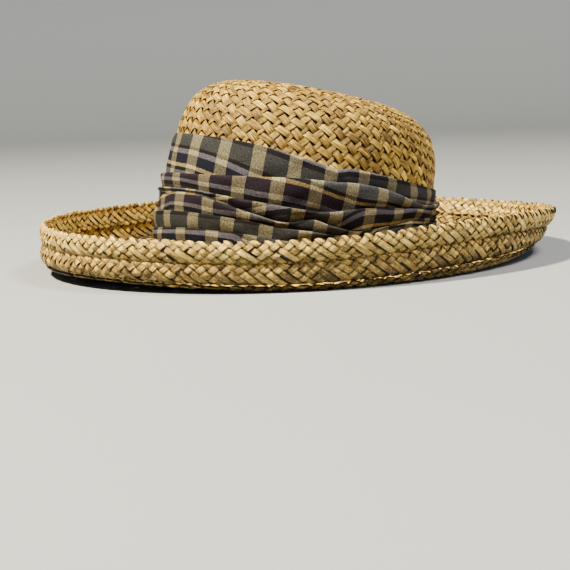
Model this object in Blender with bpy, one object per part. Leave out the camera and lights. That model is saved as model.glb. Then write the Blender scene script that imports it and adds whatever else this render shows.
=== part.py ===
"""Straw hat with an upturned braid brim and a pleated cloth band.

The hat stands on the lowest part of its brim. Its front faces -Y, the wearer's
left is +X and +Z is up, in metres. A bearing is an angle round the hat in
degrees: 0 at the front, 90 at the wearer's left, 180 at the back.
"""

import math

import bpy
import numpy as np
from mathutils import Vector

MM = 0.001

# Head and crown
HEAD_LENGTH = 195.0 * MM        # inside the crown's foot, front to back
HEAD_WIDTH = 163.0 * MM         # inside the crown's foot, side to side
CROWN_HEIGHT = 95.0 * MM        # foot to top, along the middle
CROWN_LEAN = 13.0               # degrees that the top leans back
LEAN_BEARING = 170.0            # the way that it leans
LEAN_SHARE = 0.5                # share of the height where the lean is whole
LEAN_EVEN = 0.7                 # part of the lean that grows evenly, the rest eases in
STRAW_WALL = 2.4 * MM           # a flat woven straw wall

# Brim: turns of sewn braid, side by side
BRAID_WIDTH = 14.5 * MM
BRAID_TURNS = 7
BRAID_EDGE = 1.5 * MM           # a braid is thinner along its two edges
FRONT_ARCH = 5.5 * MM           # how far the front of the brim rises off the table
PRESSED = 0.5 * MM              # the standing brim is pressed flat by this much

# Band of pleated cloth
CLOTH = 1.6 * MM                # folded cloth, between the pleats
PLEAT = 2.0 * MM                # how far a pleat's edge stands proud of it
PLEAT_DROP = 1.2 * MM           # height in which a pleat's edge falls back
TOP_LIFT = 0.5 * MM             # how far the band's top edge stands off
BAND_LIFT = 2.25 * MM           # the band's lower edge above the crown's foot
BAND_INSIDE = 5                 # points up the band's inner face

GAP = 0.3 * MM                  # clearance between neighbouring pieces

SMOOTH_BELOW = 35               # degrees: sharper edges are shaded as edges
STEPS_ROUND = 56
PATH_STEPS = 140

# Brim sections: bearing, slope down from the crown, where the upturn starts and
# ends as shares of the brim's width, angle of the wall, angle of the rim, and
# share of the front arch
BRIM_COLUMNS = ("bearing", "slope", "turn_start", "turn_end", "wall", "rim", "arch")
BRIM_SECTIONS = (
    (-40, 12.5, 0.62, 0.76, 86, 101, 0.27),
    (5, 12.0, 0.66, 0.81, 84, 92, 1.0),
    (50, 13.0, 0.62, 0.785, 80, 88, 0.09),
    (95, 15.0, 0.56, 0.74, 76, 82, 0.0),
    (140, 18.0, 0.415, 0.84, 58, 70, 0.0),
    (185, 16.0, 0.46, 0.86, 54, 64, 0.0),
    (230, 14.0, 0.515, 0.80, 72, 82, 0.0),
    (275, 13.0, 0.60, 0.77, 84, 96, 0.0),
)

# Crown sections: share of the height, share of the foot's size
CROWN_COLUMNS = ("height", "spread")
CROWN_SECTIONS = (
    (0.0, 1.0),
    (0.15, 0.988),
    (0.3, 0.972),
    (0.5, 0.95),
    (0.65, 0.935),
    (0.76, 0.905),
    (0.85, 0.85),
    (0.92, 0.765),
    (0.965, 0.655),
    (0.985, 0.53),
    (0.995, 0.37),
)

# Band: height of its top edge and of the edges of its pleats, as shares of the
# crown's height
BAND_COLUMNS = ("bearing", "low_pleat", "middle_pleat", "high_pleat", "top")
BAND_SECTIONS = (
    (-40, 0.15, 0.26, 0.33, 0.555),
    (5, 0.15, 0.258, 0.335, 0.54),
    (35, 0.14, 0.237, 0.36, 0.515),
    (62, 0.13, 0.215, 0.385, 0.465),
    (85, 0.13, 0.25, 0.385, 0.48),
    (113, 0.13, 0.26, 0.35, 0.468),
    (150, 0.13, 0.24, 0.34, 0.475),
    (200, 0.13, 0.24, 0.35, 0.49),
    (260, 0.14, 0.25, 0.34, 0.53),
)

STATIONS = range(STEPS_ROUND)   # places round the hat where every ring has its points


def bearing_at(station):
    """A station's bearing in degrees."""
    return 360.0 * station / STEPS_ROUND


def read_round(columns, rows, name, bearing):
    """A table's column at any bearing, smooth all the way round."""
    column = columns.index(name)
    start = rows[0][0]
    turn = (bearing - start) % 360.0
    ends = [row[0] - start for row in rows] + [360.0]
    at = max(i for i in range(len(rows)) if ends[i] <= turn)
    share = (turn - ends[at]) / (ends[at + 1] - ends[at])
    before, here, there, after = (rows[(at + k) % len(rows)][column] for k in (-1, 0, 1, 2))
    leave = (there - before) / 2
    arrive = (after - here) / 2
    return (here * (2 * share ** 3 - 3 * share ** 2 + 1)
            + leave * (share ** 3 - 2 * share ** 2 + share)
            + there * (3 * share ** 2 - 2 * share ** 3)
            + arrive * (share ** 3 - share ** 2))


def foot_radius(bearing):
    """Distance from the hat's middle to the outside of the crown's foot."""
    angle = math.radians(bearing)
    half_width = HEAD_WIDTH / 2 + STRAW_WALL
    half_length = HEAD_LENGTH / 2 + STRAW_WALL
    return 1 / math.hypot(math.sin(angle) / half_width, math.cos(angle) / half_length)


def place(bearing, radius, height):
    """A point by its bearing, distance from the middle and height."""
    angle = math.radians(bearing)
    return Vector((radius * math.sin(angle), -radius * math.cos(angle), height))


def brim_angle(bearing, share):
    """Angle of the brim above the level, at a share of its width."""
    slope, start, end, wall, rim = (
        read_round(BRIM_COLUMNS, BRIM_SECTIONS, name, bearing) for name in BRIM_COLUMNS[1:6])
    if share < start:
        return -slope
    if share < end:
        return -slope + (wall + slope) * (share - start) / (end - start)
    return wall + (rim - wall) * (share - end) / (1 - end)


def brim_line(bearing):
    """Middle line of the brim, crown to rim: share, radius, height and angle."""
    width = BRAID_WIDTH * BRAID_TURNS
    slope = math.radians(brim_angle(bearing, 0.0))
    radius = foot_radius(bearing) + GAP + BRAID_EDGE / 2 * abs(math.sin(slope))
    height = 0.0
    line = [(0.0, radius, height, slope)]
    for step in range(PATH_STEPS):
        angle = math.radians(brim_angle(bearing, (step + 0.5) / PATH_STEPS))
        radius += width / PATH_STEPS * math.cos(angle)
        height += width / PATH_STEPS * math.sin(angle)
        line.append(((step + 1) / PATH_STEPS, radius, height, angle))
    arch = FRONT_ARCH * max(0.0, read_round(BRIM_COLUMNS, BRIM_SECTIONS, "arch", bearing))
    rise = STRAW_WALL / 2 - PRESSED + arch - min(point[2] for point in line)
    return np.array([(share, r, z + rise, a) for share, r, z, a in line])


LINES = [brim_line(bearing_at(station)) for station in STATIONS]
FOOT = [float(line[0][2]) for line in LINES]    # height of the crown's foot
MEAN_FOOT = sum(FOOT) / STEPS_ROUND


def brim_point(station, share, off):
    """A point at a share of the brim's width, off its middle line by a distance."""
    line = LINES[station]
    radius, height, angle = (np.interp(share, line[:, 0], line[:, k]) for k in (1, 2, 3))
    radius -= off * math.sin(angle)
    height += off * math.cos(angle)
    return place(bearing_at(station), radius, max(0.0, height))


def crown_point(station, share, spread, off=0.0):
    """A point on the crown, at shares of its height and spread, pushed out by off."""
    bearing = bearing_at(station)
    flat = place(bearing, foot_radius(bearing) * spread + off, 0.0)
    back = place(LEAN_BEARING, 1.0, 0.0)
    along = flat.dot(back)
    risen = min(1.0, share / LEAN_SHARE)
    lean = math.radians(CROWN_LEAN)
    tilt = lean * risen * (LEAN_EVEN + (1 - LEAN_EVEN) * risen * (3 - 2 * risen))
    foot = FOOT[station] + (MEAN_FOOT - FOOT[station]) * risen
    height = foot - BRAID_EDGE / 2 + CROWN_HEIGHT * share
    shift = CROWN_HEIGHT * share * math.sin(lean) - along * (1 - math.cos(tilt))
    return flat + back * shift + Vector((0, 0, height - along * math.sin(tilt)))


def spread_at(share):
    """The crown's spread at a share of its height."""
    heights, spreads = (
        [row[CROWN_COLUMNS.index(name)] for row in CROWN_SECTIONS] for name in CROWN_COLUMNS)
    return float(np.interp(share, heights, spreads))


def side_point(station, share, off=0.0):
    """A point on the crown's side, pushed straight out from the middle by off."""
    return crown_point(station, share, spread_at(share), off)


def crown_inside(station, level):
    """The point of the crown's inner face that lies behind one of its sections."""
    here = crown_point(station, *CROWN_SECTIONS[level])
    ahead = crown_point((station + 1) % STEPS_ROUND, *CROWN_SECTIONS[level])
    behind = crown_point((station - 1) % STEPS_ROUND, *CROWN_SECTIONS[level])
    above = crown_point(station, *CROWN_SECTIONS[min(level + 1, len(CROWN_SECTIONS) - 1)])
    below = crown_point(station, *CROWN_SECTIONS[max(level - 1, 0)])
    normal = (ahead - behind).cross(above - below).normalized()
    return here - normal * STRAW_WALL


def solid(name, points, faces, color, roughness):
    """An object from its points and faces, with its own material."""
    mesh = bpy.data.meshes.new(name)
    mesh.from_pydata([tuple(point) for point in points], [], faces)
    mesh.shade_smooth()
    mesh.set_sharp_from_angle(angle=math.radians(SMOOTH_BELOW))
    material = bpy.data.materials.new(name)
    material.use_nodes = True
    shader = material.node_tree.nodes["Principled BSDF"]
    shader.inputs["Base Color"].default_value = (*color, 1.0)
    shader.inputs["Roughness"].default_value = roughness
    shader.inputs["Metallic"].default_value = 0.0
    mesh.materials.append(material)
    piece = bpy.data.objects.new(name, mesh)
    bpy.context.collection.objects.link(piece)
    return piece


def ring_faces(sides, closed=True):
    """Faces of a ring of sections, each with this many points."""
    faces = []
    for station in STATIONS:
        here = station * sides
        ahead = (station + 1) % STEPS_ROUND * sides
        for k in range(sides if closed else sides - 1):
            after = (k + 1) % sides
            faces.append((here + k, ahead + k, ahead + after, here + after))
    return faces


STRAW_COLOR = (0.60, 0.43, 0.20)
CLOTH_COLOR = (0.12, 0.11, 0.16)


def build_crown():
    """Hollow woven crown, its top leaning back, open at the foot."""
    levels = range(len(CROWN_SECTIONS))
    sides = 2 * len(CROWN_SECTIONS)
    points = []
    for station in STATIONS:
        points += [crown_inside(station, level) for level in reversed(levels)]
        points += [crown_point(station, *CROWN_SECTIONS[level]) for level in levels]
    faces = ring_faces(sides, closed=False)
    outer_top = crown_point(0, 1.0, 0.0)
    lean = math.radians(CROWN_LEAN)
    up = place(LEAN_BEARING, math.sin(lean), math.cos(lean))
    points += [outer_top, outer_top - up * STRAW_WALL]
    for station in STATIONS:
        here = station * sides
        ahead = (station + 1) % STEPS_ROUND * sides
        faces.append((here + sides - 1, ahead + sides - 1, len(points) - 2))
        faces.append((ahead, here, len(points) - 1))
    return solid("crown", points, faces, STRAW_COLOR, 0.7)


def build_band():
    """Cloth band round the crown, its pleats opening upwards."""
    points = []
    for station in STATIONS:
        *pleats, top = (read_round(BAND_COLUMNS, BAND_SECTIONS, name, bearing_at(station))
                        for name in BAND_COLUMNS[1:])
        share_of_height = LEAN_SHARE / (side_point(station, LEAN_SHARE).z - FOOT[station])
        low = BAND_LIFT * share_of_height
        section = [(low, GAP + CLOTH)]
        for pleat in pleats:
            section.append((pleat, GAP + CLOTH + PLEAT))
            section.append((pleat + PLEAT_DROP * share_of_height, GAP + CLOTH))
        section.append((top, GAP + CLOTH + TOP_LIFT))
        for k in range(BAND_INSIDE):
            section.append((top + (low - top) * k / (BAND_INSIDE - 1), GAP))
        points += [side_point(station, share, off) for share, off in section]
    faces = ring_faces(len(points) // STEPS_ROUND)
    return solid("band", points, faces, CLOTH_COLOR, 0.9)


def build_brim_row(turn):
    """One turn of braid: a flat ring, thinner along its edges."""
    margin = GAP / 2 / (BRAID_WIDTH * BRAID_TURNS)
    start = turn / BRAID_TURNS + (0.0 if turn == 0 else margin)
    end = (turn + 1) / BRAID_TURNS - margin
    profile = ((0.0, BRAID_EDGE / 2), (1 / 3, STRAW_WALL / 2),
               (2 / 3, STRAW_WALL / 2), (1.0, BRAID_EDGE / 2))
    points = []
    for station in STATIONS:
        for across, half in profile:
            points.append(brim_point(station, start + (end - start) * across, -half))
        for across, half in reversed(profile):
            points.append(brim_point(station, start + (end - start) * across, half))
    faces = ring_faces(2 * len(profile))
    return solid(f"brim_row_{turn + 1}", points, faces, STRAW_COLOR, 0.7)


def main():
    for old in list(bpy.data.objects):
        bpy.data.objects.remove(old)
    pieces = [build_crown(), build_band()]
    pieces += [build_brim_row(turn) for turn in range(BRAID_TURNS)]

    # The hat stands with the middle of its outline on the origin
    hat = bpy.data.objects.new("hat", None)
    bpy.context.collection.objects.link(hat)
    corners = [corner for piece in pieces for corner in piece.bound_box]
    for axis in (0, 1):
        reach = [corner[axis] for corner in corners]
        hat.location[axis] = -(min(reach) + max(reach)) / 2
    for piece in pieces:
        piece.parent = hat


main()
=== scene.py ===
"""Looks of the woven straw hat: crown, braided brim, pleated plaid band.

The hat stands on the lowest part of its brim, in metres. Its front faces -Y, the
wearer's left is +X and +Z is up. A bearing is an angle round the hat in degrees:
0 at the front, 90 at the wearer's left, 180 at the back.
"""

import math

import bmesh
import bpy
import numpy as np
from mathutils import Matrix, Vector


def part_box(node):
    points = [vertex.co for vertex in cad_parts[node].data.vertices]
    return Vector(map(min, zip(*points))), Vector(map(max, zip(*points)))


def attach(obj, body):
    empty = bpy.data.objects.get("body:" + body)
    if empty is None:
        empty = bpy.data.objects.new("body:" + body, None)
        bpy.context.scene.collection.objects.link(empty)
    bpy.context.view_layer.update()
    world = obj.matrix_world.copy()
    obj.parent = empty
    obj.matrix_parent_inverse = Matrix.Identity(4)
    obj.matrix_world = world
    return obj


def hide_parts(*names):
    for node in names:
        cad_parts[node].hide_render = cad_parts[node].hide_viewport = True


MM = 0.001

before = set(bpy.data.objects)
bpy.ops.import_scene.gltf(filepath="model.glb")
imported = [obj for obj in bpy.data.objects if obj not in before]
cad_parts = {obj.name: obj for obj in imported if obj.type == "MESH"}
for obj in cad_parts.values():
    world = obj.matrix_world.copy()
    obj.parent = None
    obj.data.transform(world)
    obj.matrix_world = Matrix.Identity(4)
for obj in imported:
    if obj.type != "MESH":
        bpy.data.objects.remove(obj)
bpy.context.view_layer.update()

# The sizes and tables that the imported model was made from

HEAD_LENGTH = 195.0 * MM
HEAD_WIDTH = 163.0 * MM
CROWN_HEIGHT = 95.0 * MM
CROWN_LEAN = math.radians(13.0)
LEAN_BEARING = 170.0
LEAN_SHARE = 0.5
LEAN_EVEN = 0.7
STRAW_WALL = 2.4 * MM
BRAID_WIDTH = 14.5 * MM
BRAID_TURNS = 7
BRAID_EDGE = 1.5 * MM
FRONT_ARCH = 5.5 * MM
PRESSED = 0.5 * MM
GAP = 0.3 * MM
PATH_STEPS = 140

ALL_ROUND = np.linspace(0, 360, 1441)    # bearings a quarter of a degree apart

BRIM_COLUMNS = ("bearing", "slope", "turn_start", "turn_end", "wall", "rim", "arch")
BRIM_SECTIONS = (
    (-40, 12.5, 0.62, 0.76, 86, 101, 0.27),
    (5, 12.0, 0.66, 0.81, 84, 92, 1.0),
    (50, 13.0, 0.62, 0.785, 80, 88, 0.09),
    (95, 15.0, 0.56, 0.74, 76, 82, 0.0),
    (140, 18.0, 0.415, 0.84, 58, 70, 0.0),
    (185, 16.0, 0.46, 0.86, 54, 64, 0.0),
    (230, 14.0, 0.515, 0.80, 72, 82, 0.0),
    (275, 13.0, 0.60, 0.77, 84, 96, 0.0),
)

CROWN_SECTIONS = (
    (0.0, 1.0), (0.15, 0.988), (0.3, 0.972), (0.5, 0.95), (0.65, 0.935), (0.76, 0.905),
    (0.85, 0.85), (0.92, 0.765), (0.965, 0.655), (0.985, 0.53), (0.995, 0.37), (1.0, 0.0),
)


# Shape of the hat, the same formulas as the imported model's, for many points at once

def curve(start, leave, end, arrive, share):
    """A smooth way from one value to the next, with its slopes at both."""
    return (start * (2 * share ** 3 - 3 * share ** 2 + 1)
            + leave * (share ** 3 - 2 * share ** 2 + share)
            + end * (3 * share ** 2 - 2 * share ** 3) + arrive * (share ** 3 - share ** 2))


def run_length(points):
    """How far along its line each point lies."""
    step = np.linalg.norm(np.diff(points, axis=-2), axis=-1)
    return np.concatenate([np.zeros(step.shape[:-1] + (1,)), np.cumsum(step, axis=-1)], axis=-1)


def read_round(columns, rows, name, bearing):
    """A table's column at any bearings, smooth all the way round."""
    starts = np.array([row[0] for row in rows] + [rows[0][0] + 360.0])
    column = np.array([row[columns.index(name)] for row in rows], float)
    turn = (np.asarray(bearing, float) - starts[0]) % 360.0 + starts[0]
    at = np.clip(np.searchsorted(starts, turn, side="right") - 1, 0, len(rows) - 1)
    share = (turn - starts[at]) / (starts[at + 1] - starts[at])
    before, here, there, after = (column[(at + k) % len(rows)] for k in (-1, 0, 1, 2))
    return curve(here, (there - before) / 2, there, (after - here) / 2, share)


def foot_radius(bearing):
    """Distance from the hat's middle to the outside of the crown's foot."""
    angle = np.radians(bearing)
    half_width = HEAD_WIDTH / 2 + STRAW_WALL
    half_length = HEAD_LENGTH / 2 + STRAW_WALL
    return 1 / np.hypot(np.sin(angle) / half_width, np.cos(angle) / half_length)


def make_brim_lines():
    """Middle line of the brim at every whole bearing: radius, height and angle."""
    bearing = np.arange(360.0)[:, None]
    slope, start, end, wall, rim, arch = (
        read_round(BRIM_COLUMNS, BRIM_SECTIONS, name, bearing) for name in BRIM_COLUMNS[1:])

    def angle_at(share):
        turning = (share - start) / (end - start)
        leaning = (share - end) / (1 - end)
        return np.radians(-slope + (wall + slope) * np.clip(turning, 0, 1)
                          + (rim - wall) * np.clip(leaning, 0, 1))

    step = BRAID_WIDTH * BRAID_TURNS / PATH_STEPS
    angle = angle_at((np.arange(PATH_STEPS)[None, :] + 0.5) / PATH_STEPS)
    zero = np.zeros((360, 1))
    radius = np.hstack([zero, np.cumsum(step * np.cos(angle), axis=1)])
    radius += foot_radius(bearing) + GAP + BRAID_EDGE / 2 * np.abs(np.sin(np.radians(slope)))
    height = np.hstack([zero, np.cumsum(step * np.sin(angle), axis=1)])
    height -= height.min(1, keepdims=True)
    height += STRAW_WALL / 2 - PRESSED + FRONT_ARCH * np.maximum(0, arch)
    ends = angle_at(np.arange(PATH_STEPS + 1)[None, :] / PATH_STEPS)
    return radius, height, ends


BRIM_RADIUS, BRIM_HEIGHT, BRIM_ANGLE = make_brim_lines()
MEAN_FOOT = BRIM_HEIGHT[:, 0].mean()


def brim_grid(grid, bearing, share):
    """A value of the brim's lines between whole bearings and steps."""
    turn = np.asarray(bearing, float) % 360.0
    across = np.clip(np.asarray(share, float), 0, 1) * PATH_STEPS
    i = np.floor(turn).astype(int) % 360
    j = np.minimum(np.floor(across).astype(int), PATH_STEPS - 1)
    u = turn - np.floor(turn)
    v = across - j
    near = grid[i, j] * (1 - v) + grid[i, j + 1] * v
    far = grid[(i + 1) % 360, j] * (1 - v) + grid[(i + 1) % 360, j + 1] * v
    return near * (1 - u) + far * u


def brim_point(bearing, share, off):
    """Points at a share of the brim's width, off its middle line by a distance."""
    radius = brim_grid(BRIM_RADIUS, bearing, share)
    height = brim_grid(BRIM_HEIGHT, bearing, share)
    angle = brim_grid(BRIM_ANGLE, bearing, share)
    past = (share - np.clip(share, 0, 1)) * BRAID_WIDTH * BRAID_TURNS
    radius = radius + past * np.cos(angle) - off * np.sin(angle)
    height = height + past * np.sin(angle) + off * np.cos(angle)
    turn = np.radians(bearing)
    return np.stack([radius * np.sin(turn), -radius * np.cos(turn), height], -1)


def crown_point(bearing, share, spread):
    """Points on the crown at shares of its height and of its foot's size."""
    turn = np.radians(bearing)
    radius = foot_radius(bearing) * spread
    flat = np.stack([radius * np.sin(turn), -radius * np.cos(turn), 0 * radius], -1)
    lean_to = math.radians(LEAN_BEARING)
    back = np.array([math.sin(lean_to), -math.cos(lean_to), 0.0])
    along = flat @ back
    risen = np.minimum(1.0, share / LEAN_SHARE)
    tilt = CROWN_LEAN * risen * (LEAN_EVEN + (1 - LEAN_EVEN) * risen * (3 - 2 * risen))
    foot = brim_grid(BRIM_HEIGHT, bearing, 0.0)
    foot = foot + (MEAN_FOOT - foot) * risen
    height = foot - BRAID_EDGE / 2 + CROWN_HEIGHT * share - along * np.sin(tilt)
    shift = CROWN_HEIGHT * share * math.sin(CROWN_LEAN) - along * (1 - np.cos(tilt))
    return flat + back * shift[..., None] + np.array([0, 0, 1.0]) * height[..., None]


def find_middle():
    """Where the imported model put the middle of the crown's foot."""
    bearing = np.arange(56) * 360.0 / 56
    ends = [brim_point(bearing, np.full(56, (0 if k == 0 else k / BRAID_TURNS)), side)
            for k in (0, 1) for side in (-BRAID_EDGE / 2, BRAID_EDGE / 2)]
    mine = np.concatenate(ends)
    low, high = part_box("brim_row_1")
    middle = (np.array(low) + np.array(high)) / 2 - (mine.min(0) + mine.max(0)) / 2
    return np.array([middle[0], middle[1], 0.0])


MIDDLE = find_middle()


def smooth_profile(steps=600):
    """The crown's outline as many shares of height and spread, curved through its sections."""
    rows = np.array(CROWN_SECTIONS)
    mirrored = rows[-2] * (1, -1)
    rows = np.vstack([2 * rows[0] - rows[1], rows, mirrored])
    mean = (HEAD_LENGTH + HEAD_WIDTH) / 4 + STRAW_WALL
    flat = rows * (CROWN_HEIGHT, mean)
    lengths = run_length(flat)
    line = []
    for at in np.linspace(lengths[1], lengths[-2], steps):
        i = min(max(int(np.searchsorted(lengths, at, side="right")) - 1, 1), len(rows) - 3)
        t = (at - lengths[i]) / (lengths[i + 1] - lengths[i])
        span = lengths[i + 1] - lengths[i]
        leave = (rows[i + 1] - rows[i - 1]) / (lengths[i + 1] - lengths[i - 1]) * span
        arrive = (rows[i + 2] - rows[i]) / (lengths[i + 2] - lengths[i]) * span
        line.append(curve(rows[i], leave, rows[i + 1], arrive, t))
    return np.array(line), mean


PROFILE, MEAN_RADIUS = smooth_profile()


def make_climb():
    """How far up the crown each point of its outline is, in lengths of its own radius."""
    flat = PROFILE * (CROWN_HEIGHT, MEAN_RADIUS)
    step = np.sqrt((np.diff(flat, axis=0) ** 2).sum(1))
    radius = np.maximum((flat[1:, 1] + flat[:-1, 1]) / 2, 0.004 * MEAN_RADIUS)
    return np.concatenate([[0], np.cumsum(step / radius)])


CLIMB = make_climb()


def make_even_bearings():
    """Bearings that are the same length apart round the oval crown."""
    angle = np.radians(ALL_ROUND)
    gone = run_length(np.stack([np.sin(angle), np.cos(angle)], -1) * foot_radius(ALL_ROUND)[:, None])
    return gone / gone[-1] * 360.0, ALL_ROUND


EVEN_TURN, EVEN_BEARING = make_even_bearings()


def crown_surface(turn, climb, off):
    """Points off the crown's outside; turn is in radians, even all the way round the oval."""

    def on_skin(turn, climb):
        bearing = np.interp(np.degrees(turn) % 360.0, EVEN_TURN, EVEN_BEARING)
        share = np.interp(climb, CLIMB, PROFILE[:, 0])
        spread = np.interp(climb, CLIMB, PROFILE[:, 1])
        return crown_point(bearing, share, spread)

    step = 0.004
    ahead = on_skin(turn + step, climb) - on_skin(turn - step, climb)
    above = on_skin(turn, climb + step) - on_skin(turn, climb - step)
    normal = np.cross(ahead, above)
    normal /= np.linalg.norm(normal, axis=-1, keepdims=True)
    return on_skin(turn, climb) + normal * off[..., None]


def climb_at_spread(spread):
    """How far up the crown its outline has come in to a share of the foot's size."""
    return float(np.interp(-spread, -PROFILE[:, 1], CLIMB))


def climb_at_share(share):
    """How far up the crown a share of its height is."""
    return np.interp(share, PROFILE[:, 0], CLIMB)


# Strips of straw

# Cross-section of a strip: share of its half width, share of its thickness. The face and
# the sides have their own corners, so that the strip's edge looks cut
STRIP_FACE = ((-0.92, 0.36), (-0.4, 0.5), (0.08, 0.4), (0.5, 0.5), (0.92, 0.34))
STRIP_SIDES = ((0.92, 0.34), (1.0, -0.3), (-1.0, -0.3), (-0.92, 0.36))
CROWN_SECTION = STRIP_FACE + STRIP_SIDES
CROWN_LINKS = ((0, 1), (1, 2), (2, 3), (3, 4), (5, 6), (6, 7), (7, 8))

# A braid is seen from both sides
BRAID_SECTION = (
    (-0.94, 0.40), (-0.35, 0.5), (0.3, 0.42), (0.94, 0.40),
    (0.94, -0.40), (0.35, -0.5), (-0.25, -0.42), (-0.94, -0.40),
    (0.94, 0.40), (1.0, 0.0), (0.94, -0.40), (-0.94, -0.40), (-1.0, 0.0), (-0.94, 0.40))
BRAID_LINKS = ((0, 1), (1, 2), (2, 3), (4, 5), (5, 6), (6, 7), (8, 10), (11, 13))


def mesh_piece(name, points, faces, material):
    """A smooth object from points and four-cornered faces."""
    mesh = bpy.data.meshes.new(name)
    mesh.vertices.add(len(points))
    mesh.vertices.foreach_set("co", points.ravel())
    mesh.loops.add(len(faces) * 4)
    mesh.loops.foreach_set("vertex_index", faces.ravel())
    mesh.polygons.add(len(faces))
    mesh.polygons.foreach_set("loop_start", np.arange(len(faces)) * 4)
    mesh.update(calc_edges=True)
    mesh.shade_smooth()
    mesh.materials.append(material)
    piece = bpy.data.objects.new(name, mesh)
    bpy.context.scene.collection.objects.link(piece)
    return piece


def map_strips(mesh, faces, places, tone, painted_shade):
    """What the straw material reads: a map along and across each strip, tones and painted shade."""
    layer = mesh.uv_layers.new(name="strip")
    layer.data.foreach_set("uv", places[faces.ravel()].ravel())
    for name, values in (("tone", tone), ("painted_shade", painted_shade)):
        mesh.attributes.new(name, "FLOAT", "POINT").data.foreach_set("value", values)


def make_strips(name, parts, section, links, material):
    """One mesh of many strips. Its map runs along each strip in metres and across it."""
    corners = len(section)
    made = []
    start = 0
    across = np.array([c for c, _ in section])
    one, next_one = (list(side) for side in zip(*links))
    for points, length, tone, painted_shade in parts:
        strips, sections = points.shape[:2]
        index = start + np.arange(strips * sections * corners).reshape(strips, sections, corners)
        here, ahead = index[:, :-1], index[:, 1:]
        faces = np.stack([here[..., one], ahead[..., one], ahead[..., next_one],
                          here[..., next_one]], -1)
        places = np.stack(np.broadcast_arrays(length[..., None], across), -1)
        tone, painted_shade = (np.broadcast_to(value, points.shape[:3]).ravel() for value in (tone, painted_shade))
        made.append((points.reshape(-1, 3), faces.reshape(-1, 4), places.reshape(-1, 2), tone, painted_shade))
        start += strips * sections * corners
    points, faces, places, tone, painted_shade = (np.concatenate(values) for values in zip(*made))
    points += MIDDLE
    points[:, 2] = np.maximum(points[:, 2], 0.1 * MM)
    piece = mesh_piece(name, points, faces, material)
    map_strips(piece.data, faces, places, tone, painted_shade)
    return piece


# Materials

def linear(hex_color):
    """A colour as read from a screen, as the light that Blender works with."""
    values = [int(hex_color[k:k + 2], 16) / 255 for k in (0, 2, 4)]
    return tuple(v / 12.92 if v <= 0.04045 else ((v + 0.055) / 1.055) ** 2.4
                 for v in values) + (1.0,)


def set_inputs(made, inputs):
    """Links each input of a node to a socket, or sets it to a value."""
    for name, value in inputs.items():
        if isinstance(value, bpy.types.NodeSocket):
            made.id_data.links.new(value, made.inputs[name])
        else:
            made.inputs[name].default_value = value


def node(tree, kind, inputs=(), out=0, stops=(), **settings):
    """Adds a shader node with its settings, colour stops and inputs, and gives its output."""
    made = tree.nodes.new("ShaderNode" + kind)
    for name, value in settings.items():
        setattr(made, name, value)
    set_inputs(made, inputs if isinstance(inputs, dict) else dict(enumerate(inputs)))
    if stops:
        elements = made.color_ramp.elements
        elements.remove(elements[1])
        elements[0].position = stops[0][0]
        elements[0].color = linear(stops[0][1])
        for place, color in stops[1:]:
            elements.new(place).color = linear(color)
    return made.outputs[out]


def new_material(name):
    """A node material, its tree and its shader."""
    material = bpy.data.materials.new(name)
    material.use_nodes = True
    tree = material.node_tree
    return material, tree, tree.nodes["Principled BSDF"]


def straw_material(name, stops, shadow):
    """Palm leaf, split and dried. The eye gets long fibres with fine dark splits, tones that differ
    from strip to strip, painted shade along a strip's edges and where it goes under, and a dull
    gloss."""
    material, tree, shader = new_material(name)
    place = node(tree, "UVMap", uv_map="strip")
    along = node(tree, "SeparateXYZ", (place,))
    across = along.node.outputs[1]
    tone = node(tree, "Attribute", out="Fac", attribute_name="tone")
    painted_shade = node(tree, "Attribute", out="Fac", attribute_name="painted_shade")
    strip = node(tree, "CombineXYZ", (along, across, tone))

    # Fibres run along each strip, coarser than the real 0.1 mm so that they show
    fibre = node(tree, "VectorMath", (strip, (70.0, 1.9, 31.0)), operation="MULTIPLY")
    streaks = node(tree, "TexNoise", {
        "Vector": fibre, "Scale": 1.6, "Detail": 3.0, "Roughness": 0.6})

    # Fine dark splits between the fibres, about half a millimetre apart
    crack = node(tree, "VectorMath", (strip, (45.0, 4.4, 31.0), (0, 0, 7.3)),
                 operation="MULTIPLY_ADD")
    cracks = node(tree, "TexNoise", {"Vector": crack, "Scale": 1.3, "Detail": 1.0})
    away = node(tree, "Math", (cracks, 0.5), operation="SUBTRACT")
    away = node(tree, "Math", (away,), operation="ABSOLUTE")
    split = node(tree, "Math", (away, -11.0, 1.0), operation="MULTIPLY_ADD", use_clamp=True)

    # Patches about 8 mm long, where the leaf dried darker or paler
    patch = node(tree, "VectorMath", (strip, (130.0, 0.7, 31.0)), operation="MULTIPLY")
    patches = node(tree, "TexNoise", {"Vector": patch, "Scale": 1.0, "Detail": 2.0})

    mixed = node(tree, "Math", (tone, 0.85, -1.24), operation="MULTIPLY_ADD")
    mixed = node(tree, "Math", (streaks, 2.2, mixed), operation="MULTIPLY_ADD")
    mixed = node(tree, "Math", (patches, 0.5, mixed), operation="MULTIPLY_ADD", use_clamp=True)
    color = node(tree, "ValToRGB", (mixed,), stops=stops)

    # Painted shade: a strip's two edges and its hidden parts take the shadow colour, where strips
    # shade each other
    edge = node(tree, "Math", (across,), operation="ABSOLUTE")
    edge = node(tree, "Math", (edge, 3.2), operation="POWER")
    edge = node(tree, "Math", (edge, 0.9), operation="MULTIPLY")
    dark = node(tree, "Math", (split, 0.7), operation="MULTIPLY")
    dark = node(tree, "Math", (edge, dark), operation="MAXIMUM")
    dark = node(tree, "Math", (dark, painted_shade), operation="MAXIMUM", use_clamp=True)
    color = node(tree, "Mix", {0: dark, 6: color, 7: linear(shadow)}, out=2, data_type="RGBA")
    rough = node(tree, "Math", (streaks, 0.3, 0.38), operation="MULTIPLY_ADD")
    relief = node(tree, "Math", (split, -0.35, streaks), operation="MULTIPLY_ADD")
    bump = node(tree, "Bump", {"Height": relief, "Distance": 0.45 * MM, "Strength": 0.8})
    set_inputs(shader, {
        "Base Color": color, "Roughness": rough, "Specular IOR Level": 0.3, "Normal": bump})
    return material


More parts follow.
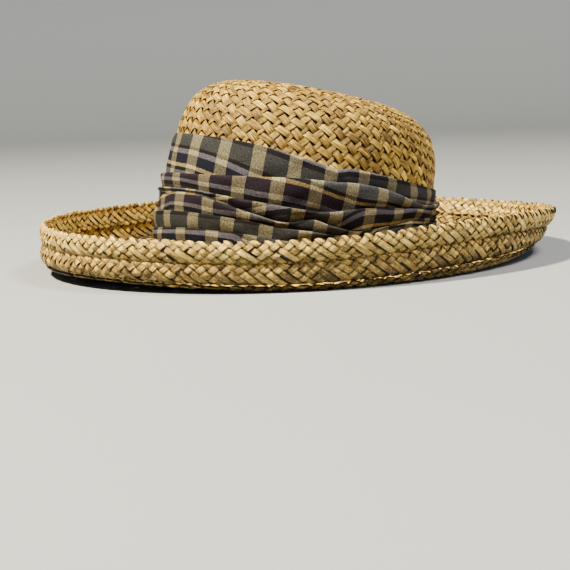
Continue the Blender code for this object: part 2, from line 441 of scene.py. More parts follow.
CROWN_STRAW = straw_material(
    "palm_leaf_woven",
    ((0.0, "4C3814"), (0.3, "785C22"), (0.55, "9C7E32"), (0.8, "C0A044"), (1.0, "E4CA66")),
    "1C1308")
BRIM_STRAW = straw_material(
    "palm_leaf_braided",
    ((0.0, "4C3A1C"), (0.3, "8A7038"), (0.55, "C4A252"), (0.8, "F0CC70"), (1.0, "FFE890")),
    "1A140C")


# Crown: two families of slanting strips, over and under each other

DOWN_SLANT = math.radians(38.4)      # strips that go down towards the wearer's left
UP_SLANT = math.radians(36.6)        # strips that go up towards it
WEAVE_LIFT = 0.6 * MM                # how far a strip goes over or under
WEAVE_MIDDLE = -0.55 * MM            # the weave's middle, off the crown's outside
STRIP_THICK = 0.9 * MM
DARKEST = 0.93                       # share of shadow colour where a strip is hidden

# Rings of the weave: spread at the lower and upper edge, strips each way
RINGS = (
    (None, 0.69, 64, 54),
    (0.69, 0.46, 44, 36),
    (0.46, 0.30, 28, 24),
    (0.30, 0.18, 18, 16),
    (0.18, 0.09, 12, 10),
    (0.09, 0.004, 6, 6),
)
# Both families by turns, every second strip and the one after it: the phase where a strip lies
# over, how much longer it stays over than under, its sideways drift along a float and how much
# of the float that fills, its width in spacings, and how much narrower it is where it is under
STRIP_KINDS = {
    "down": ((0, 0.62, 0.25, 0.86, 0.90, 0.34), (1, 0.1, -0.07, 0.7, 0.99, 0.12)),
    "up": ((1, 0.1, 0.05, 0.6, 0.66, 0.0), (0, -0.3, 0.10, 0.5, 0.40, 0.0)),
}
WEAVE_FROM = 0.40                    # share of the height under the band where strips start
LAP_BELOW = 0.035                    # how far a ring's strips run on past its edges, in radii
LAP_ABOVE = 0.03
SECTIONS_EACH = 6.6                  # sections of a strip between two crossings
DIVE_SECTIONS = 5.0                  # sections over which a strip's end dives in
DIVE = 0.9 * MM
FULL_SPACING = 5.2 * MM              # strips closer together than this are thinner and flatter
FLOATS = 4099                        # random values for the floats, more than there are floats
FLOAT_STEP = 977                     # how far on in those values the next strip starts
MAP_SHIFT = 0.37                     # how far on in the straw's map the next strip starts


def rise_and_fall(phase, over, bias):
    """Height of a strip, 1 over and -1 under. It lies over at the phase given as over."""
    steep = 2.1
    wave = np.cos(np.pi * (phase - over)) + bias
    return np.tanh(steep * wave) / math.tanh(steep)


def drift(phase, over, reach):
    """Sideways drift along each float, back again where the strip goes under."""
    x = (phase - over + 1) % 2 - 1
    inside = x / reach
    outside = np.sign(x) * (1 - np.abs(x)) / (1 - reach)
    return np.where(np.abs(x) < reach, inside, outside)


def weave_family(ring, going_down):
    """One family of strips in a ring of the crown."""
    lower, upper, down_count, up_count = ring
    low = climb_at_share(WEAVE_FROM) if lower is None else climb_at_spread(lower) - LAP_BELOW
    high = climb_at_spread(upper) + LAP_ABOVE
    a, b = 1 / math.tan(DOWN_SLANT), 1 / math.tan(UP_SLANT)
    mine, other = (down_count, up_count) if going_down else (up_count, down_count)
    crossings = (high - low) * (a + b) * other / (2 * math.pi)
    sections = int(crossings * SECTIONS_EACH) + 2
    climb = np.linspace(low, high, sections)[None, :]
    strip = np.arange(mine)[:, None]
    start = 2 * math.pi * strip / mine
    if going_down:
        turn = start - a * climb
        phase = (start - (a + b) * climb) * up_count / (2 * math.pi)
        side = math.sin(DOWN_SLANT), math.cos(DOWN_SLANT)
    else:
        turn = start + b * climb
        phase = (start + (a + b) * climb) * down_count / (2 * math.pi)
        side = -math.sin(UP_SLANT), math.cos(UP_SLANT)
    even = strip % 2 == 0
    float_number = np.floor((phase + np.where(even, 1, 0)) / 2).astype(int) + FLOAT_STEP * strip

    def varied(low_end, high_end, seed):
        values = np.random.default_rng(seed + mine).uniform(low_end, high_end, FLOATS)
        return values[float_number % FLOATS]

    def by_strip(low_end, high_end, seed):
        values = np.random.default_rng(seed + mine).uniform(low_end, high_end, mine)
        return values[strip]

    scale = MEAN_RADIUS * np.interp(climb, CLIMB, PROFILE[:, 1])
    spacing = 2 * math.pi * scale / mine * abs(side[0])
    kinds = STRIP_KINDS["down" if going_down else "up"]
    over, longer, drifted, filled, wide, narrower = (
        np.where(even, first, second) for first, second in zip(*kinds))
    height = rise_and_fall(phase, over, longer)
    width = wide * spacing * (by_strip(0.93, 1.07, 3) if going_down else by_strip(0.9, 1.1, 5))
    width = width * (1 + narrower * np.minimum(height, 0))
    slide = (drifted * drift(phase, over, filled) + varied(-0.035, 0.035, 7)) * spacing
    size = np.minimum(1.0, spacing / FULL_SPACING)
    lift = WEAVE_LIFT * (height * varied(0.85, 1.15, 8)) * size
    # The ends of a ring's strips dive in where the next ring begins
    ends = np.minimum(1, np.minimum(np.arange(sections), np.arange(sections)[::-1]) / DIVE_SECTIONS)
    lift = lift + (ends[None, :] - 1) * DIVE
    corners = np.array(CROWN_SECTION)
    across = slide[..., None] + width[..., None] / 2 * corners[:, 0]
    thick = STRIP_THICK * size
    roll = varied(-0.11, 0.11, 21)
    off = (WEAVE_MIDDLE + lift[..., None] + thick[..., None] * corners[:, 1]
           + (roll * width)[..., None] / 2 * corners[:, 0])
    aside = across / scale[..., None]
    points = crown_surface(turn[..., None] + aside * side[0], climb[..., None] + aside * side[1], off)
    tone = 0.5 + by_strip(-0.24, 0.24, 9) + varied(-0.14, 0.14, 10)
    length = run_length(points[:, :, 2])
    # Painted shade: a strip takes the shadow colour where it passes under the other family
    painted_shade = np.clip(-height[..., None] * 1.2, 0, DARKEST)
    return points, length + strip * MAP_SHIFT, tone[..., None], painted_shade


crown_down = make_strips("crown_strips_down", [weave_family(ring, True) for ring in RINGS],
                         CROWN_SECTION, CROWN_LINKS, CROWN_STRAW)
crown_up = make_strips("crown_strips_up", [weave_family(ring, False) for ring in RINGS],
                       CROWN_SECTION, CROWN_LINKS, CROWN_STRAW)
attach(crown_down, "root")
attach(crown_up, "root")
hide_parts("crown")


SHELL_OUTER = -1.55 * MM             # the inside's two faces, off the crown's outside
SHELL_INNER = -2.1 * MM
SHELL_RELIEF = 0.7 * MM              # how far its strips stand out inwards
HALF_FLOAT = 4.5 * MM                # half of a strip's visible length there


def make_inner_wall():
    """The weave's inside, a closed shell: each crossing shows the strip that lies inside there."""
    columns, outer_levels, inner_levels = 300, 20, 126

    def spread_out(levels):
        even = np.interp(np.linspace(0, 1, levels), np.linspace(0, 1, len(CLIMB)), CLIMB)
        climb = np.minimum(even, climb_at_spread(0.004))[:, None]
        turn = np.arange(columns)[None, :] * 2 * math.pi / columns + 0 * climb
        return turn, climb + 0 * turn

    turn, climb = spread_out(outer_levels)
    outer = crown_surface(turn, climb, 0 * turn + SHELL_OUTER)
    turn, climb = (grid[::-1] for grid in spread_out(inner_levels))
    relief, along, across, tone = (0 * turn for _ in range(4))
    table = np.random.default_rng(31)
    for lower, _, down_count, up_count in RINGS:
        here = climb >= (0 if lower is None else climb_at_spread(lower))
        down_at = (turn + climb / math.tan(DOWN_SLANT)) * down_count / (2 * math.pi)
        up_at = (turn - climb / math.tan(UP_SLANT)) * up_count / (2 * math.pi)
        down_strip, up_strip = np.rint(down_at).astype(int), np.rint(up_at).astype(int)
        x, y = 2 * (down_at - down_strip), 2 * (up_at - up_strip)
        down_shows = (down_strip + up_strip) % 2 == 0
        wide, long = np.where(down_shows, x, y), np.where(down_shows, y, x)
        relief = np.where(here, np.sqrt(1 - wide * wide) * (1 - long ** 4), relief)
        down_strip, up_strip = down_strip % down_count, up_strip % up_count
        along = np.where(here, HALF_FLOAT * long + MAP_SHIFT * down_strip, along)
        across = np.where(here, wide, across)
        tones = table.uniform(-0.28, 0.28, (down_count, up_count))
        tone = np.where(here, 0.5 + tones[down_strip, up_strip], tone)
    inner = crown_surface(turn, climb, SHELL_INNER - SHELL_RELIEF * relief)
    points = np.concatenate([outer, inner])
    rows = outer_levels + inner_levels
    index = np.arange(rows * columns).reshape(rows, columns)
    below = np.roll(index, -1, axis=0)
    right = np.roll(index, -1, axis=1)
    corner = np.roll(below, -1, axis=1)
    faces = np.stack([index, right, corner, below], -1).reshape(-1, 4)
    piece = mesh_piece("crown_inside", points.reshape(-1, 3) + MIDDLE, faces, CROWN_STRAW)
    hidden = np.zeros((outer_levels, columns))
    places = np.stack([np.concatenate([hidden, along]), np.concatenate([hidden, across])], -1)
    # Painted shade: the outer face, seen through the gaps between strips, is all shadow colour, and
    # the inside darkens in the dips between its strips
    painted_shade = np.concatenate([hidden + DARKEST, np.clip(1.2 - 2.4 * relief, 0, 0.9)])
    map_strips(piece.data, faces, places.reshape(-1, 2), np.concatenate([hidden, tone]).ravel(),
               painted_shade.ravel())
    return piece


crown_inside = make_inner_wall()
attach(crown_inside, "root")


# Brim: rows of five-strand braid

PLAIT_SPACING = 7.4 * MM             # between two folds along a row's edge
PLAIT_CROSSINGS = 5                  # steps from one edge of a row to the other
PLAIT_REACH = 7.0 * MM               # from the braid's middle line to its folds
RIM_REACH = 6.5 * MM                 # the same on the last row, which is pulled tighter
RIM_INSET = 1.0 * MM                 # how far the last row's middle lies inside its turn
PLAIT_THICK = 0.85 * MM
PLAIT_LIFT = 0.70 * MM
MISSED_SHARE = 0.42                  # share of the strips with a missed crossing
ROW_TILT = 0.10                      # each row lies over the outer edge of the last one
ROW_BULGE = 1.7 * MM                 # how far a row of the turned-up wall swells outward

# Where a strip has its sections: 0 and 5 are its folds, 1 to 4 its crossings
LEVELS = (-0.16, -0.07, 0.3, 0.7, 1.3, 1.7, 2.3, 2.7, 3.3, 3.7, 4.3, 4.7, 5.07, 5.16)
FINE_LEVELS = (-0.16, -0.1, 0.05, 0.35, 0.65, 1, 1.35, 1.65, 2, 2.35, 2.65, 3, 3.35, 3.65, 4,
               4.35, 4.65, 4.95, 5.1, 5.16)


def row_place(row):
    """Share of the brim's width at a row's middle, and its reach to both sides."""
    if row == BRAID_TURNS - 1:
        return (row + 0.5) / BRAID_TURNS - RIM_INSET / (BRAID_WIDTH * BRAID_TURNS), RIM_REACH
    return (row + 0.5) / BRAID_TURNS, PLAIT_REACH


def row_off(bearing, middle, y, reach):
    """How far the row's own middle surface lies off the brim's."""
    upright = np.clip((brim_grid(BRIM_ANGLE, bearing, middle) - 0.4) / 0.6, 0, 1)
    return -ROW_TILT * y - ROW_BULGE * (0.5 - (y / reach) ** 2) * upright


def braid_family(row, rising):
    """Flat strips that cross the row one way, folded over at both of its edges."""
    middle, reach = row_place(row)
    gone = run_length(brim_point(ALL_ROUND, np.full(ALL_ROUND.shape, middle), 0.0))
    count = int(round(gone[-1] / PLAIT_SPACING))
    spacing = gone[-1] / count
    last = row == BRAID_TURNS - 1
    level = np.array(FINE_LEVELS if row > BRAID_TURNS - 3 else LEVELS)[None, :]
    strip = np.arange(count)[:, None]
    across = level / PLAIT_CROSSINGS

    # Both families share their folds, so both read the same tables
    folds = np.random.default_rng(100 + row)
    low_shift, high_shift = folds.normal(0, 0.07, (2, count))
    low_reach, high_reach = 1.02 + folds.normal(0, 0.045, (2, count))
    fold_width = folds.uniform(0.86, 0.98, (2, count))
    missed = folds.uniform(0, 1, count) < MISSED_SHARE
    table = np.random.default_rng(200 + 2 * row + rising)
    half = PLAIT_CROSSINGS / 2
    ahead = strip if rising else (strip - PLAIT_CROSSINGS) % count
    way = half if rising else -half
    along = strip + low_shift[strip] * (1 - across) + (way + high_shift[ahead]) * across
    sway = table.normal(0, 0.05, (count, 1)) * np.sin(math.pi * across)
    along = along + sway
    y = (2 * across - 1) * reach
    y = y * np.where(across < 0.5, low_reach[strip], high_reach[ahead])

    # Widths in steps along the row; hidden parts are pressed narrower
    near_fold = np.clip((np.abs(2 * across - 1) - 0.72) / 0.28, 0, 1)
    own = (0.78 if rising else 0.91) * table.uniform(0.88, 1.06, (count, 1))
    at_fold = np.where(across < 0.5, fold_width[0][strip], fold_width[1][ahead])
    rim = last * (across > 0.5)
    width = own * (1 - near_fold) + at_fold * (1 - 0.17 * rim) * near_fold
    corners = np.array(BRAID_SECTION)
    aside = width[..., None] / 2 * corners[:, 0]

    # Over and under, seen from inside and above
    crossing = np.clip(level[..., None] + (aside if rising else -aside), 0, PLAIT_CROSSINGS)
    side = np.ones((count, 1)) * (-1.0, 1.0, -1.0, 1.0, -1.0, 1.0) * (1 if rising else -1)
    # Where the second crossing is missed, a strip lies over three others in a row
    side[missed[(np.arange(count) - (0 if rising else 2)) % count], 2] *= -1
    before = np.minimum(np.floor(crossing).astype(int), PLAIT_CROSSINGS - 1)
    ease = np.clip((crossing - before - 0.5) * 2.4 + 0.5, 0, 1)
    ease = ease * ease * (3 - 2 * ease)
    height = side[strip[..., None], before] * (1 - ease)
    height = height + side[strip[..., None], before + 1] * ease
    outside = np.maximum(np.maximum(-level, level - PLAIT_CROSSINGS), 0)
    closing = np.sqrt(np.clip(1 - (outside / 0.165) ** 2, 0, 1))
    swell = 0.72 + 0.5 * (1 - (2 * across - 1) ** 2)
    lift = height * (closing * swell * table.uniform(0.85, 1.2, (count, 1)))[..., None] * PLAIT_LIFT
    block = np.rint(crossing).astype(int)
    roll = table.uniform(-0.13, 0.13, (count, 6))
    roll = np.stack([np.interp(level[0], np.arange(6), values) for values in roll])
    if last and not rising:
        roll = roll + 0.3 * np.clip((level - 3.6) / 1.2, 0, 1) * closing
    tone = 0.5 + table.uniform(-0.2, 0.2, (count, 1, 1))
    tone = tone + table.uniform(-0.2, 0.2, (count, 6))[strip[..., None], block]
    # Painted shade along the seams: a row of the wall is darkest along its lower edge
    upright = np.clip((BRIM_ANGLE[:, int(middle * PATH_STEPS)].mean() - 0.4) / 0.6, 0, 1)
    tone = tone - (0.4 * upright * np.clip(1 - across / 0.42, 0, 1))[..., None]
    # Painted light and shade: the rim row is lighter, the upright rows below it darker
    tone = tone + (0.18 if last else -0.14 * upright)
    # Painted shade darkens the edge of the row under the wall, where the light would catch it
    tone = tone - (0.45 * (row == BRAID_TURNS - 3) * np.clip((across - 0.8) / 0.2, 0, 1))[..., None]
    aside = aside * spacing
    thick = PLAIT_THICK * (0.3 + 0.7 * closing[..., None]) * corners[:, 1]
    s_at = (along * spacing)[..., None] + aside
    # Folds are round tabs that lean, not one straight line
    lean = folds.normal(-0.12 if last else -0.05, 0.05, (2, count))
    lean = np.where(across < 0.5, lean[0][strip], lean[1][ahead])[..., None]
    tab = (0.15 if last else 0.11) * (0.55 - corners[:, 0] ** 2) + lean * corners[:, 0]
    y_at = y[..., None] * (1 + tab * near_fold[..., None])
    at_bearing = np.interp(s_at % gone[-1], gone, ALL_ROUND)
    off = lift + thick + (roll[..., None] * aside) + row_off(at_bearing, middle, y_at, reach)
    points = brim_point(at_bearing, middle + y_at / (BRAID_WIDTH * BRAID_TURNS), off)
    length = run_length(points[:, :, 2])
    # Painted shade where a strip passes under another, on the face turned that way
    painted_shade = np.clip(-height * np.sign(corners[:, 1]) * 1.1 + 0.1, 0, DARKEST)
    return points, length + strip * 0.041 + rising * 3.3, tone, painted_shade


def braid_core(row):
    """A dark sheet in the middle of the braid, all in painted shade, which closes its gaps."""
    middle, reach = row_place(row)
    bearing = np.linspace(0, 360, 361)[None, :, None]
    corners = np.array(BRAID_SECTION)
    y_at = reach * (0.95 if row == BRAID_TURNS - 1 else 1.06) * corners[:, 0] + 0 * bearing
    off = 0.18 * MM * corners[:, 1] + row_off(bearing + 0 * y_at, middle, y_at, reach)
    points = brim_point(bearing + 0 * y_at, middle + y_at / (BRAID_WIDTH * BRAID_TURNS), off)
    length = np.linspace(0, 0.8, 361)[None, :]
    return points, length, np.full((1, 361, 1), -0.6), np.full((1, 361, 1), 0.95)


for row in range(BRAID_TURNS):
    piece = make_strips(f"braid_row_{row + 1}", [braid_family(row, True), braid_family(row, False),
                                                 braid_core(row)],
                        BRAID_SECTION, BRAID_LINKS, BRIM_STRAW)
    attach(piece, "root")
    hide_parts(f"brim_row_{row + 1}")


# Band: one long cloth laid in pleats that open upwards

CLOTH_THICK = 0.45 * MM
BAND_OFF = 1.35 * MM                 # the cloth's middle, off the crown's outside
PLEAT_PROUD = 2.9 * MM               # how far a pleat's fold stands out
PLEAT_HIDDEN = 4.2 * MM              # how far the cloth goes back in behind a fold
BAND_STEP = 1.9 * MM                 # between the mesh's columns
PANEL_ROWS = [12, 18, 18, 18, 18, 18]    # rows of the mesh in each panel, folds with the lower one

# Heights of the folds as shares of the crown's height, and how full each fold is
FOLD_COLUMNS = ("bearing", "top", "high", "middle", "slant", "low", "lowest",
                "high_full", "middle_full", "slant_full", "low_full", "lowest_full")
FOLDS = (
    (-58, 0.557, 0.335, 0.255, 0.215, 0.150, 0.065, 1.0, 1.0, 0.0, 0.7, 0.5),
    (-30, 0.555, 0.330, 0.262, 0.235, 0.155, 0.070, 1.0, 1.0, 0.1, 0.8, 0.4),
    (-10, 0.545, 0.330, 0.262, 0.252, 0.155, 0.075, 1.0, 1.0, 0.3, 0.9, 0.5),
    (8, 0.540, 0.333, 0.260, 0.240, 0.155, 0.080, 1.0, 1.0, 0.8, 0.9, 0.6),
    (22, 0.534, 0.345, 0.247, 0.208, 0.150, 0.080, 1.0, 1.0, 1.0, 0.8, 0.5),
    (33, 0.522, 0.360, 0.238, 0.178, 0.140, 0.075, 1.0, 1.0, 1.0, 0.3, 0.2),
    (44, 0.500, 0.376, 0.228, 0.150, 0.122, 0.060, 1.0, 1.0, 0.7, 0.5, 0.0),
    (55, 0.478, 0.383, 0.218, 0.172, 0.108, 0.055, 1.0, 1.0, 0.8, 1.0, 0.0),
    (63, 0.462, 0.385, 0.217, 0.140, 0.090, 0.050, 1.0, 0.9, 0.9, 0.5, 0.0),
    (68, 0.477, 0.392, 0.228, 0.122, 0.080, 0.045, 1.0, 1.0, 0.8, 0.2, 0.0),
    (76, 0.480, 0.394, 0.243, 0.100, 0.060, 0.030, 1.0, 1.0, 0.4, 0.2, 0.0),
    (90, 0.477, 0.380, 0.256, 0.120, 0.070, 0.030, 1.0, 1.0, 0.1, 0.6, 0.0),
    (106, 0.470, 0.330, 0.260, 0.150, 0.100, 0.040, 0.9, 1.0, 0.2, 0.8, 0.2),
    (120, 0.466, 0.300, 0.255, 0.175, 0.115, 0.050, 0.6, 1.0, 0.4, 0.8, 0.4),
    (150, 0.475, 0.345, 0.240, 0.170, 0.120, 0.060, 0.9, 1.0, 0.5, 0.7, 0.5),
    (200, 0.490, 0.360, 0.240, 0.190, 0.130, 0.060, 1.0, 1.0, 0.7, 0.8, 0.5),
    (255, 0.525, 0.345, 0.250, 0.180, 0.140, 0.065, 1.0, 1.0, 0.5, 0.8, 0.6),
)
FOLD_NAMES = ("high", "middle", "slant", "low", "lowest")

# Where in the plaid's repeat each panel starts at its upper edge, in millimetres
PLAID_COLUMNS = ("bearing", "squeeze", "top", "high", "middle", "slant", "low", "lowest")
PLAID_STARTS = (
    (-40, 1.3, 1.5, 41.0, 26.0, 33.0, 44.5, 57.3),
    (0, 1.3, 0.0, 39.8, 27.5, 35.5, 46.0, 58.3),
    (15, 1.2, -1.8, 38.2, 33.0, 38.5, 46.5, 59.3),
    (30, 1.0, -3.0, 37.3, 40.0, 43.0, 47.5, 59.8),
    (45, 1.0, -4.0, 34.5, 45.5, 46.0, 50.0, 60.8),
    (58, 1.0, -4.6, 31.0, 48.5, 50.0, 56.0, 62.8),
    (75, 1.0, -4.0, 25.5, 58.3, 60.0, 64.0, 64.8),
    (95, 1.1, -3.0, 26.0, 58.6, 66.0, 68.0, 66.8),
    (115, 1.2, -2.5, 29.0, 59.8, 66.0, 68.0, 66.8),
    (180, 1.0, -1.0, 36.0, 50.0, 56.0, 58.0, 62.8),
    (250, 1.1, 1.0, 41.0, 32.0, 40.0, 48.0, 58.8),
)


def band_profile(bearing):
    """Heights above the foot, distances off the crown and plaid places, top to bottom."""
    full = {name: np.clip(read_round(FOLD_COLUMNS, FOLDS, name + "_full", bearing), 0, 1)
            for name in FOLD_NAMES}
    top = read_round(FOLD_COLUMNS, FOLDS, "top", bearing) * CROWN_HEIGHT
    edges, last = {}, top
    for name in FOLD_NAMES:
        edge = read_round(FOLD_COLUMNS, FOLDS, name, bearing) * CROWN_HEIGHT
        last = np.minimum(edge, last - 1.2 * MM)
        edges[name] = last
    start = {name: read_round(PLAID_COLUMNS, PLAID_STARTS, name, bearing) * MM
             for name in PLAID_COLUMNS[2:]}
    squeeze = read_round(PLAID_COLUMNS, PLAID_STARTS, "squeeze", bearing)
    signed = (bearing + 180) % 360 - 180
    gathered = 1 + 0.35 * np.clip((32 - signed) / 32, 0, 1)
    rows = []

    def add(height, off, plaid):
        rows.append((height + 0 * top, off + 0 * top, plaid + 0 * top))

    # The hemmed top edge, rolled a little towards the crown
    add(top - 1.0 * MM, BAND_OFF - 0.55 * MM, start["top"] - 1.0 * MM)
    add(top - 0.1 * MM, BAND_OFF - 0.35 * MM, start["top"] - 0.2 * MM)
    add(top, BAND_OFF, start["top"])
    add(top - 0.5 * MM, BAND_OFF + 0.3 * MM, start["top"] + 0.5 * MM)
    upper, upper_off, upper_start = top, 0.35 * MM + 0 * top, start["top"]
    for number, name in enumerate(FOLD_NAMES + ("bottom",)):
        fold = edges[name] if name != "bottom" else 1.2 * MM + 0 * top
        amount = full[name] if name != "bottom" else 0 * top
        span = upper - fold
        gather = gathered if number else 1.0
        for share in (0.12, 0.25, 0.4, 0.55, 0.7, 0.82, 0.92, 1.0):
            bulge = 0.5 * MM * math.sin(math.pi * share) * np.clip(span / (9 * MM), 0, 1.3)
            off = BAND_OFF + upper_off * (1 - share ** 1.4) + bulge
            add(upper - span * share, off, upper_start + span * share * squeeze * gather)
        if name == "bottom":
            break
        # In behind the fold, back out again, and over the next panel's round lip
        hidden, proud = PLEAT_HIDDEN * amount, PLEAT_PROUD * amount
        ended = upper_start + span * squeeze * gather
        parted = np.clip(amount * 2.5, 0, 1)
        first = start[name] * parted + ended * (1 - parted)
        off = BAND_OFF
        add(fold - hidden * 0.5, off - 0.05 * MM, ended + hidden * 0.5)
        add(fold - hidden * 0.93, off, ended + hidden * 0.93)
        add(fold - hidden, off + 0.3 * MM * amount, first - hidden)
        add(fold - hidden * 0.93, off + 0.62 * MM * amount, first - hidden * 0.93)
        add(fold - hidden * 0.55, off + 0.4 * proud, first - hidden * 0.55)
        add(fold - hidden * 0.2, off + 0.72 * proud, first - hidden * 0.2)
        add(fold - 0.22 * MM * amount, off + 0.80 * proud, first - 0.3 * MM * amount)
        add(fold, off + 0.90 * proud, first)
        add(fold - 0.2 * MM * amount, off + 1.00 * proud, first + 0.4 * MM * amount)
        add(fold - 0.6 * MM * amount, off + 1.08 * proud, first + 0.8 * MM * amount)
        upper, upper_off, upper_start = fold, 1.12 * proud, first
    return [np.stack(column) for column in zip(*rows)]


def waves(table, x, y, count, x_sizes, y_sizes):
    """A smooth random field in x and y, sizes in metres."""
    total = 0 * x
    for _ in range(count):
        kx = 2 * math.pi / table.uniform(*x_sizes)
        ky = 2 * math.pi / table.uniform(*y_sizes) * table.choice([-1, 1])
        total = total + np.sin(kx * x + ky * y + table.uniform(0, 2 * math.pi))
    return total / math.sqrt(count)


def make_band():
    """The pleated cloth as one closed loop, its map in metres along and across the cloth."""
    around = 2 * math.pi * MEAN_RADIUS
    columns = int(around / BAND_STEP)
    turn = np.arange(columns) * 2 * math.pi / columns
    bearing = np.interp(np.degrees(turn), EVEN_TURN, EVEN_BEARING)
    height, off, plaid = band_profile(bearing)
    rows = height.shape[0]
    climb = climb_at_share(height / CROWN_HEIGHT)
    turns = np.broadcast_to(turn, height.shape)
    length = turns * MEAN_RADIUS

    # Soft slanting wrinkles and a loose hand-pleated edge
    table = np.random.default_rng(5)
    wrinkle = waves(table, length, height, 7, (0.035, 0.09), (0.012, 0.03))
    fine = waves(table, length, height, 8, (0.012, 0.03), (0.006, 0.015))
    # Both fade out where the loop closes at the front
    fade = np.clip(np.minimum(turns, 2 * math.pi - turns) / 0.15, 0, 1)
    off = np.maximum(off + (0.36 * MM * wrinkle + 0.17 * MM * fine) * fade, 0.75 * MM)
    points = crown_surface(turns, climb, off).reshape(-1, 3) + MIDDLE
    index = np.arange(rows * columns).reshape(rows, columns)
    right = np.roll(index, -1, axis=1)
    faces = np.stack([index[:-1], index[1:], right[1:], right[:-1]], -1).reshape(-1, 4)
    piece = mesh_piece("pleated_band", points, faces, PLAID_CLOTH)

    # Faces that close the loop read the map one turn further on
    column = faces % columns
    closing = (column == 0) & (column.max(1, keepdims=True) == columns - 1)
    u = np.where(closing, length.reshape(-1)[faces] + around, length.reshape(-1)[faces])
    places = np.stack([u, plaid.reshape(-1)[faces]], -1)
    piece.data.uv_layers.new(name="cloth").data.foreach_set("uv", places.ravel())
    panel = np.repeat(np.arange(6.0), PANEL_ROWS)
    layer = piece.data.attributes.new("panel", "FLOAT", "POINT")
    layer.data.foreach_set("value", np.repeat(panel, columns))
    bpy.ops.object.select_all(action="DESELECT")
    bpy.context.view_layer.objects.active = piece
    piece.select_set(True)
    skin = piece.modifiers.new("thickness", "SOLIDIFY")
    skin.thickness = CLOTH_THICK
    skin.offset = 0.0
    bpy.ops.object.modifier_apply(modifier=skin.name)
    return piece, around


PLAID_REPEAT = 48.8                  # down the cloth, millimetres
# Colours down the cloth: where each stripe starts in the repeat, in millimetres
STRIPES = (
    (0.0, "40434A"), (9.0, "0E0D18"), (11.2, "706F86"), (14.2, "0A0F2E"), (20.2, "AC9E76"),
    (22.2, "0E0D14"), (24.4, "626672"), (33.4, "120F18"), (35.6, "98825A"), (37.4, "26182F"),
    (43.4, "6C6B80"), (45.9, "130F1A"),
)
COLUMN_REPEAT = 24.0                 # from one upright stripe to the next, millimetres
COLUMN_PALE = 8.5                    # of which this much is pale
PANEL_SHIFT = 9.0                    # how far the pale stripes move from panel to panel
YARN_PAIR = 1.0                      # two yarns, twice as wide as real ones so that they show


def plaid_material():
    """Cotton woven from dyed yarns. The eye gets soft crossing stripes, half and half where they
    cross, a fine dotted weave and no gloss."""
    material, tree, shader = new_material("plaid_cotton_woven")
    place = node(tree, "UVMap", uv_map="cloth")
    panel = node(tree, "Attribute", out="Fac", attribute_name="panel")
    scaled = node(tree, "VectorMath", (place, (1000.0, 1000.0, 0)), operation="MULTIPLY")
    along = node(tree, "SeparateXYZ", (scaled,))
    down = along.node.outputs[1]

    # Yarns wander a little
    loose = node(tree, "TexNoise", {"Vector": place, "Scale": 900.0, "Detail": 2.0})
    stray = node(tree, "Math", (loose, 0.9, -0.45), operation="MULTIPLY_ADD")

    row = node(tree, "Math", (down, stray), operation="ADD")
    row = node(tree, "Math", (row, PLAID_REPEAT), operation="FLOORED_MODULO")
    row = node(tree, "Math", (row, PLAID_REPEAT), operation="DIVIDE")
    row_color = node(tree, "ValToRGB", (row,),
                     stops=[(at / PLAID_REPEAT, color) for at, color in STRIPES])
    row_color.node.color_ramp.interpolation = "CONSTANT"
    column = node(tree, "Math", (panel, PANEL_SHIFT, along), operation="MULTIPLY_ADD")
    column = node(tree, "Math", (column, stray), operation="ADD")
    column = node(tree, "Math", (column, COLUMN_REPEAT), operation="FLOORED_MODULO")
    pale = node(tree, "Math", (column, COLUMN_PALE), operation="LESS_THAN")
    column_color = node(tree, "Mix", {0: pale, 6: linear("232530"), 7: linear("C4BC9C")}, out=2,
                        data_type="RGBA")
    # Pale yarn stands out more on pale rows
    light = node(tree, "RGBToBW", (row_color,))
    share = node(tree, "Math", (light, 2.6, 0.07), operation="MULTIPLY_ADD")
    share = node(tree, "Math", (pale, share, 0.2), operation="MULTIPLY_ADD")

    # Single yarns show as fine dots where two colours cross
    yarns = []
    for way in (along, down):
        wave = node(tree, "Math", (way, 2 * math.pi / YARN_PAIR), operation="MULTIPLY")
        yarns.append(node(tree, "Math", (wave,), operation="SINE"))
    dots = node(tree, "Math", yarns, operation="MULTIPLY")
    share = node(tree, "Math", (dots, 0.13, share), operation="MULTIPLY_ADD", use_clamp=True)
    color = node(tree, "Mix", {0: share, 6: row_color, 7: column_color}, out=2, data_type="RGBA")

    # Faded and shaded yarn by yarn
    fade = node(tree, "TexNoise", {"Vector": place, "Scale": 1100.0, "Detail": 2.0})
    dim = node(tree, "Math", (fade, 1.15, -0.21), operation="MULTIPLY_ADD")
    color = node(tree, "Mix", {0: 1.0, 6: color, 7: dim}, out=2, data_type="RGBA",
                 blend_type="MULTIPLY")
    bump = node(tree, "Bump", {"Height": dots, "Distance": 0.08 * MM, "Strength": 0.5})
    set_inputs(shader, {
        "Base Color": color, "Roughness": 0.88, "Specular IOR Level": 0.12, "Normal": bump})
    return material


PLAID_CLOTH = plaid_material()
band, band_length = make_band()
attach(band, "root")
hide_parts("band")


# Stage, camera and light

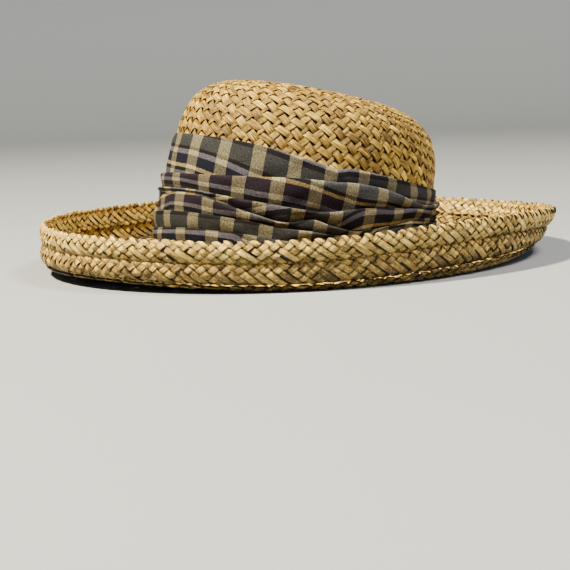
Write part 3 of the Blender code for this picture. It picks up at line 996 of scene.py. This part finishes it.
def make_stage():
    """A pale floor that curves up into a backdrop all round."""
    steps, rings = 96, []
    flat, rise = 2.3, 1.6
    for share in np.linspace(0, 1, 40).tolist():
        if share < 0.5:
            rings.append((share / 0.5 * flat, 0.0))
        else:
            angle = (share - 0.5) / 0.5 * math.pi / 2
            rings.append((flat + rise * math.sin(angle), rise * (1 - math.cos(angle))))
    bm = bmesh.new()
    circles = []
    for radius, height in rings[1:]:
        circles.append([bm.verts.new((radius * math.sin(2 * math.pi * k / steps),
                                      radius * math.cos(2 * math.pi * k / steps), height))
                        for k in range(steps)])
    centre = bm.verts.new((0, 0, 0))
    for k in range(steps):
        bm.faces.new((centre, circles[0][(k + 1) % steps], circles[0][k]))
    for inner, outer in zip(circles, circles[1:]):
        for k in range(steps):
            bm.faces.new((inner[k], inner[(k + 1) % steps], outer[(k + 1) % steps], outer[k]))
    mesh = bpy.data.meshes.new("floor")
    bm.to_mesh(mesh)
    bm.free()
    mesh.shade_smooth()
    floor = bpy.data.objects.new("floor", mesh)
    bpy.context.scene.collection.objects.link(floor)
    # Painted board. The eye gets a plain pale ground without gloss, darker near the hat
    material, tree, shader = new_material("board_painted")
    place = node(tree, "TexCoord", out="Object")
    away = node(tree, "VectorMath", (place,), out="Value", operation="LENGTH")
    share = node(tree, "Math", (away, 4.0), operation="DIVIDE")
    color = node(tree, "ValToRGB", (share,),
                 stops=((0.1, "7E8594"), (0.45, "98A2B3"), (0.8, "B8C4DA")))
    set_inputs(shader, {"Base Color": color, "Roughness": 0.9})
    mesh.materials.append(material)


make_stage()


PHOTO_SIZE = 570                     # pixels, both ways
FOCAL_LENGTH = 1464.0                # in the photo's pixels
AIM = (296, 232)                     # where the crown's lower part lies in the photo


def make_camera():
    """The photograph's own viewing angle: low, from the front and the wearer's left."""
    azimuth, elevation, roll = math.radians(50), math.radians(6), math.radians(1.7)
    distance = 1.0
    target = Vector(MIDDLE.tolist()) + Vector((0, 0, 0.018))
    forward = Vector((-math.sin(azimuth) * math.cos(elevation),
                      math.cos(azimuth) * math.cos(elevation), -math.sin(elevation)))
    right = Vector((math.cos(azimuth), math.sin(azimuth), 0))
    up = right.cross(forward)
    aside, above = ((at - PHOTO_SIZE / 2) / FOCAL_LENGTH for at in AIM)
    axis = (forward - right * aside + up * above).normalized()
    right = axis.cross(Vector((0, 0, 1))).normalized()
    up = right.cross(axis)
    tipped_right = right * math.cos(roll) - up * math.sin(roll)
    tipped_up = right * math.sin(roll) + up * math.cos(roll)
    data = bpy.data.cameras.new("camera")
    data.sensor_width = 36.0
    data.lens = FOCAL_LENGTH / PHOTO_SIZE * data.sensor_width
    camera = bpy.data.objects.new("camera", data)
    bpy.context.scene.collection.objects.link(camera)
    axes = Matrix((tipped_right, tipped_up, -axis)).transposed()
    camera.matrix_world = Matrix.Translation(target - forward * distance) @ axes.to_4x4()
    bpy.context.scene.camera = camera


make_camera()


def add_light(name, bearing, elevation, distance, size, power, color):
    """A soft square lamp that faces the hat."""
    data = bpy.data.lights.new(name, "AREA")
    data.shape = "SQUARE"
    data.size = size
    data.energy = power
    data.color = linear(color)[:3]
    lamp = bpy.data.objects.new(name, data)
    bpy.context.scene.collection.objects.link(lamp)
    b, e = math.radians(bearing), math.radians(elevation)
    place = Vector((math.sin(b) * math.cos(e), -math.cos(b) * math.cos(e), math.sin(e)))
    lamp.location = place * distance + Vector((0, 0, 0.05))
    lamp.rotation_mode = "QUATERNION"
    lamp.rotation_quaternion = place.to_track_quat("Z", "Y")


add_light("key", -8, 55, 1.7, 0.16, 180, "FFECC0")
add_light("top", 118, 58, 1.7, 0.5, 58, "FFF2D6")
add_light("fill", 112, 28, 2.0, 1.0, 5, "F4F7FF")

world = bpy.data.worlds.new("studio")
bpy.context.scene.world = world
world.use_nodes = True
set_inputs(world.node_tree.nodes["Background"], {"Color": linear("E4E9F0"), "Strength": 0.12})
